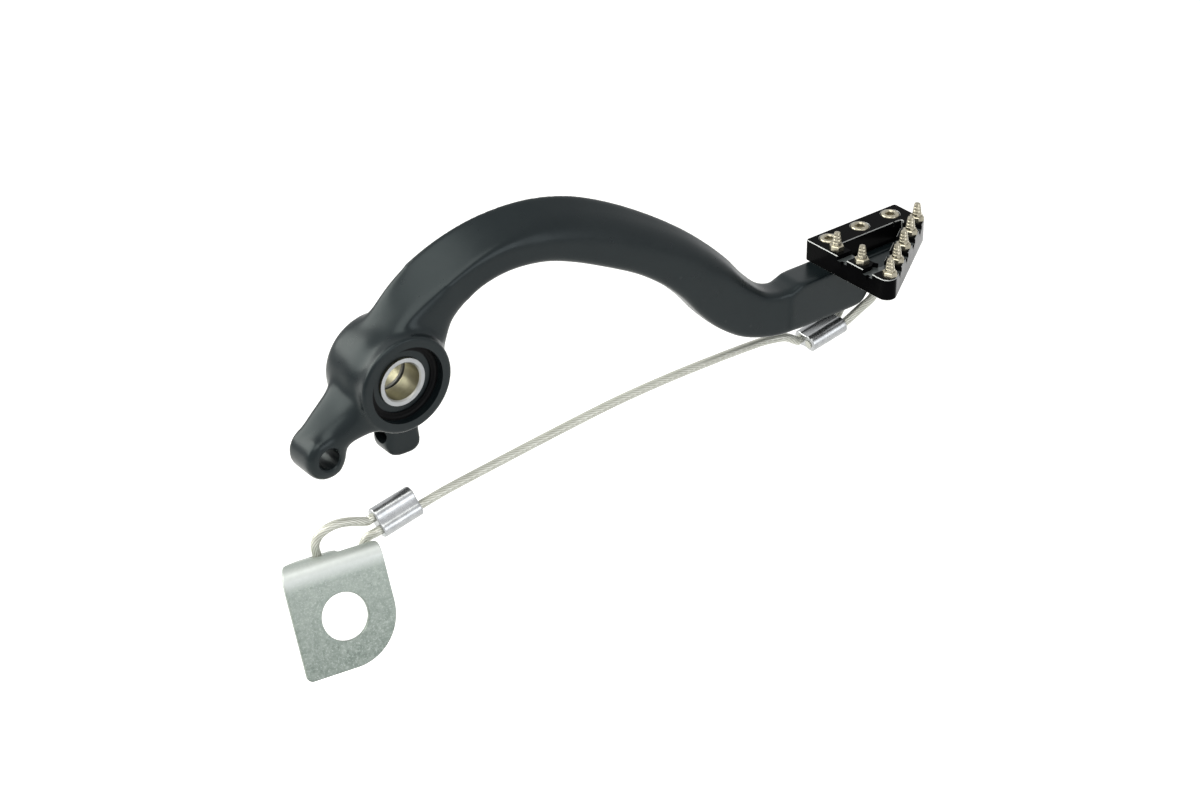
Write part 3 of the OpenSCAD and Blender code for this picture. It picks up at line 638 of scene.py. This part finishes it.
BEND_R, BEND_Z = 5.5, 16.7      # the bend's outer radius and where it starts
MID_R = BEND_R - SHEET_T / 2
BEND_TURN = math.radians(90 + FLANGE_LEAN)
BEND_ROWS = 96
RIM = 0.3       # the sheet's rounded edges
FLANGE_EYE_R = 2.9


def bracket_frame():
    ax, ay, az = (math.radians(a) for a in BRACKET_TURN)
    return (Matrix.Rotation(az, 3, "Z") @ Matrix.Rotation(ay, 3, "Y") @ Matrix.Rotation(ax, 3, "X"))


def bent(x, s, t):
    """Place of a point of the blank: across, up along the outer face, and into the sheet."""
    along = (s - BEND_Z) / MID_R
    a = min(max(along, 0.0), BEND_TURN)
    y = BEND_R - (BEND_R - t) * math.cos(a)
    z = BEND_Z + (BEND_R - t) * math.sin(a)
    if along <= 0:
        z = s
    if along > BEND_TURN:
        left = s - BEND_Z - BEND_TURN * MID_R
        y, z = y + left * math.sin(BEND_TURN), z + left * math.cos(BEND_TURN)
    return Vector(BRACKET_AT) + bracket_frame() @ Vector((x, y, z))


def inset(loop, depth):
    """The loop moved into the material, which lies on its left."""
    out = []
    for i, (x, s) in enumerate(loop):
        before, after = loop[i - 1], loop[(i + 1) % len(loop)]
        way = (Vector(after) - Vector(before)).normalized()
        out.append((x - way.y * depth, s + way.x * depth))
    return out


def bracket_loops(end):
    """The blank's outline and its two holes, with the material on their left.

    The bend ends at the height end of the blank.
    """
    half = BRACKET_W / 2
    lean = math.radians(FLANGE_LEAN)
    right = BEND_Z + math.radians(74) * MID_R
    top = end + 6.7
    raw = [(half, 2), (half, right), (FLANGE_X1, right), (FLANGE_X1, top), (half * -0.5, top),
           (-half, BEND_Z + 3.5), (-half, -half + 2)]
    outline = [raw[0]]
    for k, cut in ((1, 2.5), (2, 0.6), (3, 2), (4, 3), (5, 4)):
        outline += [tuple(q) for q in corner(raw[k - 1], raw[k], raw[k + 1], cut, 6)]
    outline += arc((2 - half, 2 - half), 2, 180, 270, 8) + arc((0, 0), half, 270, 360, 40)
    back = (BEND_R - CAD_BEND[0]) * math.cos(lean) + (CAD_BEND[1] - BEND_Z) * math.sin(lean)
    eye = (FLANGE_HOLE[0], end + FLANGE_HOLE[1] - back)
    return [outline, arc((0, 0), BRACKET_HOLE_R, 356, 0, 89), arc(eye, FLANGE_EYE_R, 352, 0, 44)]


def make_bracket():
    """Rings round each edge, filled on both faces, cut into rows at the bend, then bent."""
    turn = BEND_TURN * MID_R
    bm = bmesh.new()
    section = [(0.5, 0), (RIM, 0), (RIM * 0.3, RIM * 0.3), (0, RIM)]
    section += [(d, SHEET_T - h) for d, h in reversed(section)]
    caps = ([], [])
    for loop in bracket_loops(BEND_Z + turn):
        n = len(loop)
        rings = [[bm.verts.new((x, s, h)) for x, s in inset(loop, d)] for d, h in section]
        for a, b in zip(rings, rings[1:]):
            for i in range(n):
                bm.faces.new((a[i], a[(i + 1) % n], b[(i + 1) % n], b[i]))
        for cap, ring in zip(caps, (rings[0], rings[-1])):
            cap += [bm.edges.get((ring[i], ring[(i + 1) % n])) for i in range(n)]
    for cap in caps:
        bmesh.ops.triangle_fill(bm, use_beauty=True, use_dissolve=False, edges=cap)
    for k in range(BEND_ROWS + 1):
        bmesh.ops.bisect_plane(bm, geom=bm.verts[:] + bm.edges[:] + bm.faces[:],
                               plane_co=(0, BEND_Z + turn * k / BEND_ROWS, 0), plane_no=(0, 1, 0))
    bm.verts.index_update()
    data = ([bent(*v.co) * MM for v in bm.verts],
            [tuple(v.index for v in f.verts) for f in bm.faces])
    bm.free()
    obj = new_piece("frame_bracket_dressed", data, body="bracket",
                    replaces=("frame_bracket",))
    smooth_shade(obj, 35)
    return obj


# Materials

class Nodes:
    """A small helper that builds one material's node tree."""

    def __init__(self, name):
        self.mat = bpy.data.materials.new(name)
        self.mat.use_nodes = True
        self.tree = self.mat.node_tree
        self.tree.nodes.clear()
        self.out = self.add("ShaderNodeOutputMaterial")
        self.shader = self.add("ShaderNodeBsdfPrincipled")
        self.link(self.shader.outputs[0], self.out.inputs["Surface"])
        self.place = self.add("ShaderNodeTexCoord").outputs["Object"]

    def add(self, kind, **values):
        node = self.tree.nodes.new(kind)
        for key, value in values.items():
            setattr(node, key, value)
        return node

    def link(self, a, b):
        self.tree.links.new(a, b)

    def value(self, socket, value):
        if isinstance(value, bpy.types.NodeSocket):
            self.link(value, socket)
        else:
            socket.default_value = value

    def noise(self, size_mm, detail, rough=0.55):
        node = self.add("ShaderNodeTexNoise")
        node.inputs["Scale"].default_value = 1000.0 / size_mm
        node.inputs["Detail"].default_value = detail
        node.inputs["Roughness"].default_value = rough
        self.link(self.place, node.inputs["Vector"])
        return node.outputs["Fac"]

    def remap(self, socket, lo, hi, a, b):
        node = self.add("ShaderNodeMapRange")
        self.value(node.inputs["Value"], socket)
        for key, value in zip(("From Min", "From Max", "To Min", "To Max"), (lo, hi, a, b)):
            node.inputs[key].default_value = value
        return node.outputs["Result"]

    def vary(self, size_mm, detail, a, b):
        """Noise spread over a to b."""
        return self.remap(self.noise(size_mm, detail), 0.3, 0.7, a, b)

    def mix(self, fac, a, b):
        node = self.add("ShaderNodeMix", data_type="RGBA")
        self.value(node.inputs["Factor"], fac)
        for key, value in ((6, a), (7, b)):
            if isinstance(value, (tuple, list)):
                node.inputs[key].default_value = tuple(value) + (1.0,)
            else:
                self.link(value, node.inputs[key])
        return node.outputs[2]

    def math(self, op, a, b=0.0):
        node = self.add("ShaderNodeMath", operation=op)
        self.value(node.inputs[0], a)
        self.value(node.inputs[1], b)
        return node.outputs[0]

    def bump(self, height, strength, distance_mm):
        node = self.add("ShaderNodeBump")
        node.inputs["Strength"].default_value = strength
        node.inputs["Distance"].default_value = distance_mm * MM
        self.link(height, node.inputs["Height"])
        if self.shader.inputs["Normal"].is_linked:
            self.link(self.shader.inputs["Normal"].links[0].from_socket, node.inputs["Normal"])
        self.link(node.outputs[0], self.shader.inputs["Normal"])

    def edges(self, low, high):
        """1 at sharp outer edges, from the mesh's own pointiness, for a painted edge highlight."""
        geo = self.add("ShaderNodeNewGeometry")
        return self.remap(geo.outputs["Pointiness"], low, high, 0.0, 1.0)

    def set(self, **values):
        for key, value in values.items():
            socket = self.shader.inputs[key.replace("_", " ")]
            if isinstance(value, (tuple, list)) and len(value) == 3:
                value = tuple(value) + (1.0,)
            self.value(socket, value)


def satin_black():
    m = Nodes("satin_black")
    cloud = m.vary(14, 4, 0, 1)
    colour = m.mix(cloud, (0.004, 0.007, 0.0085), (0.007, 0.0105, 0.012))
    # Painted highlight: the sharp outer edges are painted a lighter grey.
    colour = m.mix(m.math("MULTIPLY", m.edges(0.53, 0.6), 0.3), colour, (0.03, 0.034, 0.036))
    m.set(Base_Color=colour, Metallic=0.0, IOR=1.5,
          Roughness=m.vary(5, 3, 0.27, 0.32))
    m.shader.inputs["Specular IOR Level"].default_value = 0.27
    m.shader.inputs["Specular Tint"].default_value = (0.86, 0.97, 1.0, 1.0)
    m.bump(m.noise(0.5, 2), 0.1, 0.01)
    return m.mat


def gloss_black():
    m = Nodes("gloss_black")
    colour = m.mix(m.noise(6, 3), (0.002, 0.002, 0.0022), (0.004, 0.004, 0.0045))
    m.set(Base_Color=colour, Metallic=0.0,
          Roughness=m.vary(4, 3, 0.16, 0.22))
    m.shader.inputs["IOR"].default_value = 1.5
    m.shader.inputs["Specular IOR Level"].default_value = 0.012
    m.bump(m.noise(2.5, 2), 0.05, 0.02)
    return m.mat


def bright_edge():
    m = Nodes("bright_edge")
    colour = m.mix(m.noise(1.2, 3), (0.2, 0.21, 0.21), (0.4, 0.41, 0.41))
    m.set(Base_Color=colour, Metallic=0.4, Roughness=m.vary(0.8, 2, 0.3, 0.45))
    m.bump(m.noise(0.8, 2), 0.05, 0.02)
    return m.mat


def milled_floor():
    m = Nodes("milled_floor")
    colour = m.mix(m.noise(2, 3), (0.05, 0.058, 0.06), (0.08, 0.09, 0.092))
    m.set(Base_Color=colour, Metallic=0.2, Roughness=m.vary(1.5, 2, 0.3, 0.42))
    m.bump(m.noise(0.8, 2), 0.08, 0.02)
    return m.mat


def metal(name, dark, light, rough, metallic, cloud=3.0):
    m = Nodes(name)
    base = m.mix(m.vary(cloud, 4, 0, 1), dark, light)
    worn = m.remap(m.noise(cloud * 0.5, 3), 0.58, 0.7, 0, 0.5)
    colour = m.mix(worn, base, tuple(min(1.0, c * 1.08) for c in light))
    m.set(Base_Color=colour, Metallic=metallic,
          Roughness=m.vary(cloud * 0.6, 3, *rough))
    m.bump(m.noise(4, 2), 0.05, 0.02)
    return m.mat


def bush_steel():
    """Pale ground faces, and a darker, warmer bore."""
    m = Nodes("bush_steel")
    split = m.add("ShaderNodeSeparateXYZ")
    m.link(m.add("ShaderNodeNewGeometry").outputs["Normal"], split.inputs[0])
    face = m.remap(m.math("ABSOLUTE", split.outputs["Y"]), 0.5, 0.8, 0, 1)
    cloud = m.vary(5, 4, 0, 1)
    bore = m.mix(cloud, (0.2, 0.185, 0.12), (0.34, 0.32, 0.22))
    ring = m.mix(cloud, (0.36, 0.37, 0.38), (0.43, 0.44, 0.45))
    m.set(Base_Color=m.mix(face, bore, ring), Metallic=0.7,
          Roughness=m.vary(3, 3, 0.34, 0.46))
    m.bump(m.noise(1.6, 2), 0.06, 0.02)
    return m.mat


def zinc():
    """Tumbled zinc, with a painted highlight over the bend."""
    m = Nodes("tumbled_zinc")
    height = m.add("ShaderNodeVectorMath", operation="DOT_PRODUCT")
    m.link(m.place, height.inputs[0])
    up = bracket_frame() @ Vector((0, 0, 1))
    height.inputs[1].default_value = up
    level = up.dot(Vector(BRACKET_AT)) * MM

    def over(low, high):
        return m.remap(height.outputs["Value"], level + low * MM, level + high * MM, 0, 1)

    blotch = m.noise(2.4, 5, 0.7)
    fleck = m.noise(0.75, 4, 0.7)
    base = m.mix(m.remap(blotch, 0.38, 0.62, 0, 1), (0.14, 0.17, 0.15), (0.24, 0.275, 0.25))
    # Painted light: the flat face is painted lighter towards the bend.
    base = m.mix(m.math("MULTIPLY", over(-14, 16), 0.45), base, (0.38, 0.42, 0.39))
    colour = m.mix(m.remap(fleck, 0.5, 0.66, 0, 0.75), base, (0.38, 0.42, 0.39))
    colour = m.mix(m.remap(m.noise(1.1, 3, 0.7), 0.6, 0.72, 0, 0.5), colour, (0.1, 0.12, 0.11))
    # Painted highlight over the bend, faded near its top edge to leave a darker line there; the
    # metallic level follows it.
    bend_highlight = m.math("MULTIPLY", over(13.5, 17.5), m.remap(blotch, 0.3, 0.7, 1.0, 0.86))
    bend_highlight = m.math("MULTIPLY", bend_highlight, m.remap(over(19.6, 22), 0, 1, 1.0, 0.2))
    colour = m.mix(bend_highlight, colour, (0.6, 0.63, 0.62))
    m.set(Base_Color=colour, Metallic=m.remap(bend_highlight, 0, 1, 0.7, 0.4),
          Roughness=m.remap(blotch, 0.3, 0.7, 0.42, 0.54))
    m.bump(fleck, 0.2, 0.02)
    return m.mat


def rubber():
    m = Nodes("seal_rubber")
    m.set(Base_Color=m.mix(m.noise(2, 3), (0.0025, 0.0025, 0.003), (0.005, 0.005, 0.0055)),
          Roughness=m.vary(1, 2, 0.45, 0.6))
    m.shader.inputs["Specular IOR Level"].default_value = 0.08
    m.bump(m.noise(0.4, 2), 0.15, 0.02)
    return m.mat


def coated_cable():
    m = Nodes("coated_strands")
    strand = m.add("ShaderNodeAttribute", attribute_name="strand").outputs["Fac"]
    wave = m.math("COSINE", strand)
    # Painted shade in the grooves between the strands.
    groove_shade = m.remap(wave, -1.0, -0.2, 1.0, 0.0)
    tone = m.mix(m.vary(4, 3, 0, 1), (0.58, 0.59, 0.53), (0.7, 0.71, 0.65))
    colour = m.mix(m.math("MULTIPLY", groove_shade, 0.85), tone, (0.26, 0.25, 0.19))
    m.set(Base_Color=colour, Metallic=0.25, Roughness=m.vary(2, 2, 0.32, 0.42))
    m.shader.inputs["Coat Weight"].default_value = 0.5
    m.shader.inputs["Coat Roughness"].default_value = 0.1
    m.bump(m.noise(1.5, 2), 0.05, 0.03)
    return m.mat


def dress(obj, *mats):
    obj.data.materials.clear()
    for mat in mats:
        obj.data.materials.append(mat)


def recolour(names, mat):
    """Gives CAD nodes a material, in the slots of their objects."""
    for name in names:
        obj = NODES[name]
        for slot in obj.material_slots:
            slot.link = "OBJECT"
            slot.material = mat


arm = make_arm()
plate = make_plate()
cleats = [make_cleat(i) for i in range(7)]
screws = [make_screw(i) for i in range(3)]
ferrules = [make_ferrule("tip_ferrule", *TIP_FERRULE),
            make_ferrule("bracket_ferrule", *END_FERRULE)]
bracket = make_bracket()

black = satin_black()
stainless = metal("warm_stainless", (0.27, 0.25, 0.19), (0.42, 0.39, 0.31), rough=(0.2, 0.28),
                  cloud=1.5, metallic=0.85)
aluminium = metal("bright_aluminium", (0.33, 0.34, 0.35), (0.43, 0.44, 0.45), rough=(0.24, 0.3),
                  metallic=0.92)
dress(arm, black)
for i, mat in enumerate((gloss_black(), bright_edge(), milled_floor())):
    plate.data.materials[i] = mat
dress(cable, coated_cable())
recolour(("outer_pivot_bush", "inner_pivot_bush"), bush_steel())
recolour(("outer_dust_seal", "inner_dust_seal"), rubber())
for obj in cleats + screws:
    dress(obj, stainless)
for obj in ferrules:
    dress(obj, aluminium)
dress(bracket, zinc())


# Stage and light

FLOOR_DROP, FLOOR_HALF, FLOOR_GLOW = 0.16, 4.0, 0.62
WORLD_PLAIN, WORLD_SEEN = 0.08, 1.0


def background_seen(tree):
    """1 for camera, glossy and transmission rays, which all find the white background."""
    path = tree.nodes.new("ShaderNodeLightPath")
    seen = path.outputs["Is Camera Ray"]
    for name in ("Is Glossy Ray", "Is Transmission Ray"):
        node = tree.nodes.new("ShaderNodeMath")
        node.operation = "MAXIMUM"
        tree.links.new(seen, node.inputs[0])
        tree.links.new(path.outputs[name], node.inputs[1])
        seen = node.outputs[0]
    return seen


def make_stage():
    z, half = cad_box[0][2] - FLOOR_DROP, FLOOR_HALF
    mesh = bpy.data.meshes.new("floor")
    mesh.from_pydata([(-half, -half, z), (half, -half, z), (half, half, z), (-half, half, z)],
                     [], [(0, 1, 2, 3)])
    floor = bpy.data.objects.new("floor", mesh)
    scene.collection.objects.link(floor)
    m = Nodes("pale_floor")
    m.set(Base_Color=m.mix(m.noise(60, 2), (0.84, 0.84, 0.84), (0.87, 0.87, 0.87)), Roughness=0.9)
    m.shader.inputs["Emission Color"].default_value = (1, 1, 1, 1)
    m.link(m.math("MULTIPLY", background_seen(m.tree), FLOOR_GLOW),
           m.shader.inputs["Emission Strength"])
    mesh.materials.append(m.mat)


def make_world():
    world = bpy.data.worlds.new("studio")
    scene.world = world
    world.use_nodes = True
    tree = world.node_tree
    tree.nodes.clear()
    out = tree.nodes.new("ShaderNodeOutputWorld")
    mix = tree.nodes.new("ShaderNodeMixShader")
    tree.links.new(background_seen(tree), mix.inputs[0])
    for i, strength in ((1, WORLD_PLAIN), (2, WORLD_SEEN)):
        node = tree.nodes.new("ShaderNodeBackground")
        node.inputs["Color"].default_value = (1, 1, 1, 1)
        node.inputs["Strength"].default_value = strength
        tree.links.new(node.outputs[0], mix.inputs[i])
    tree.links.new(mix.outputs[0], out.inputs["Surface"])


def area_light(name, place, target, size, power, colour=(1, 1, 1)):
    data = bpy.data.lights.new(name, "AREA")
    data.shape = "RECTANGLE"
    data.size, data.size_y = size
    data.energy = power
    data.color = colour
    obj = bpy.data.objects.new(name, data)
    scene.collection.objects.link(obj)
    obj.location = place
    obj.visible_camera = False
    way = Vector(target) - Vector(place)
    obj.rotation_euler = way.to_track_quat("-Z", "Y").to_euler()


MIDDLE = (0.09, 0.0, -0.02)
make_stage()
make_world()
area_light("top_box", (-0.35, -0.31, 0.98), MIDDLE, (0.95, 0.95), 9, (1.0, 1.0, 0.94))
area_light("back_box", (-0.75, 0.68, 0.62), MIDDLE, (1.2, 0.9), 17, (1.0, 1.0, 0.93))
area_light("front_box", (0.4, -1.25, 0.3), MIDDLE, (0.9, 0.7), 4.5, (0.96, 0.98, 1.0))
area_light("right_strip", (0.62, 0.09, -0.16), (0.21, -0.02, -0.01), (0.3, 0.25), 0.35)

scene.view_settings.view_transform = "Standard"
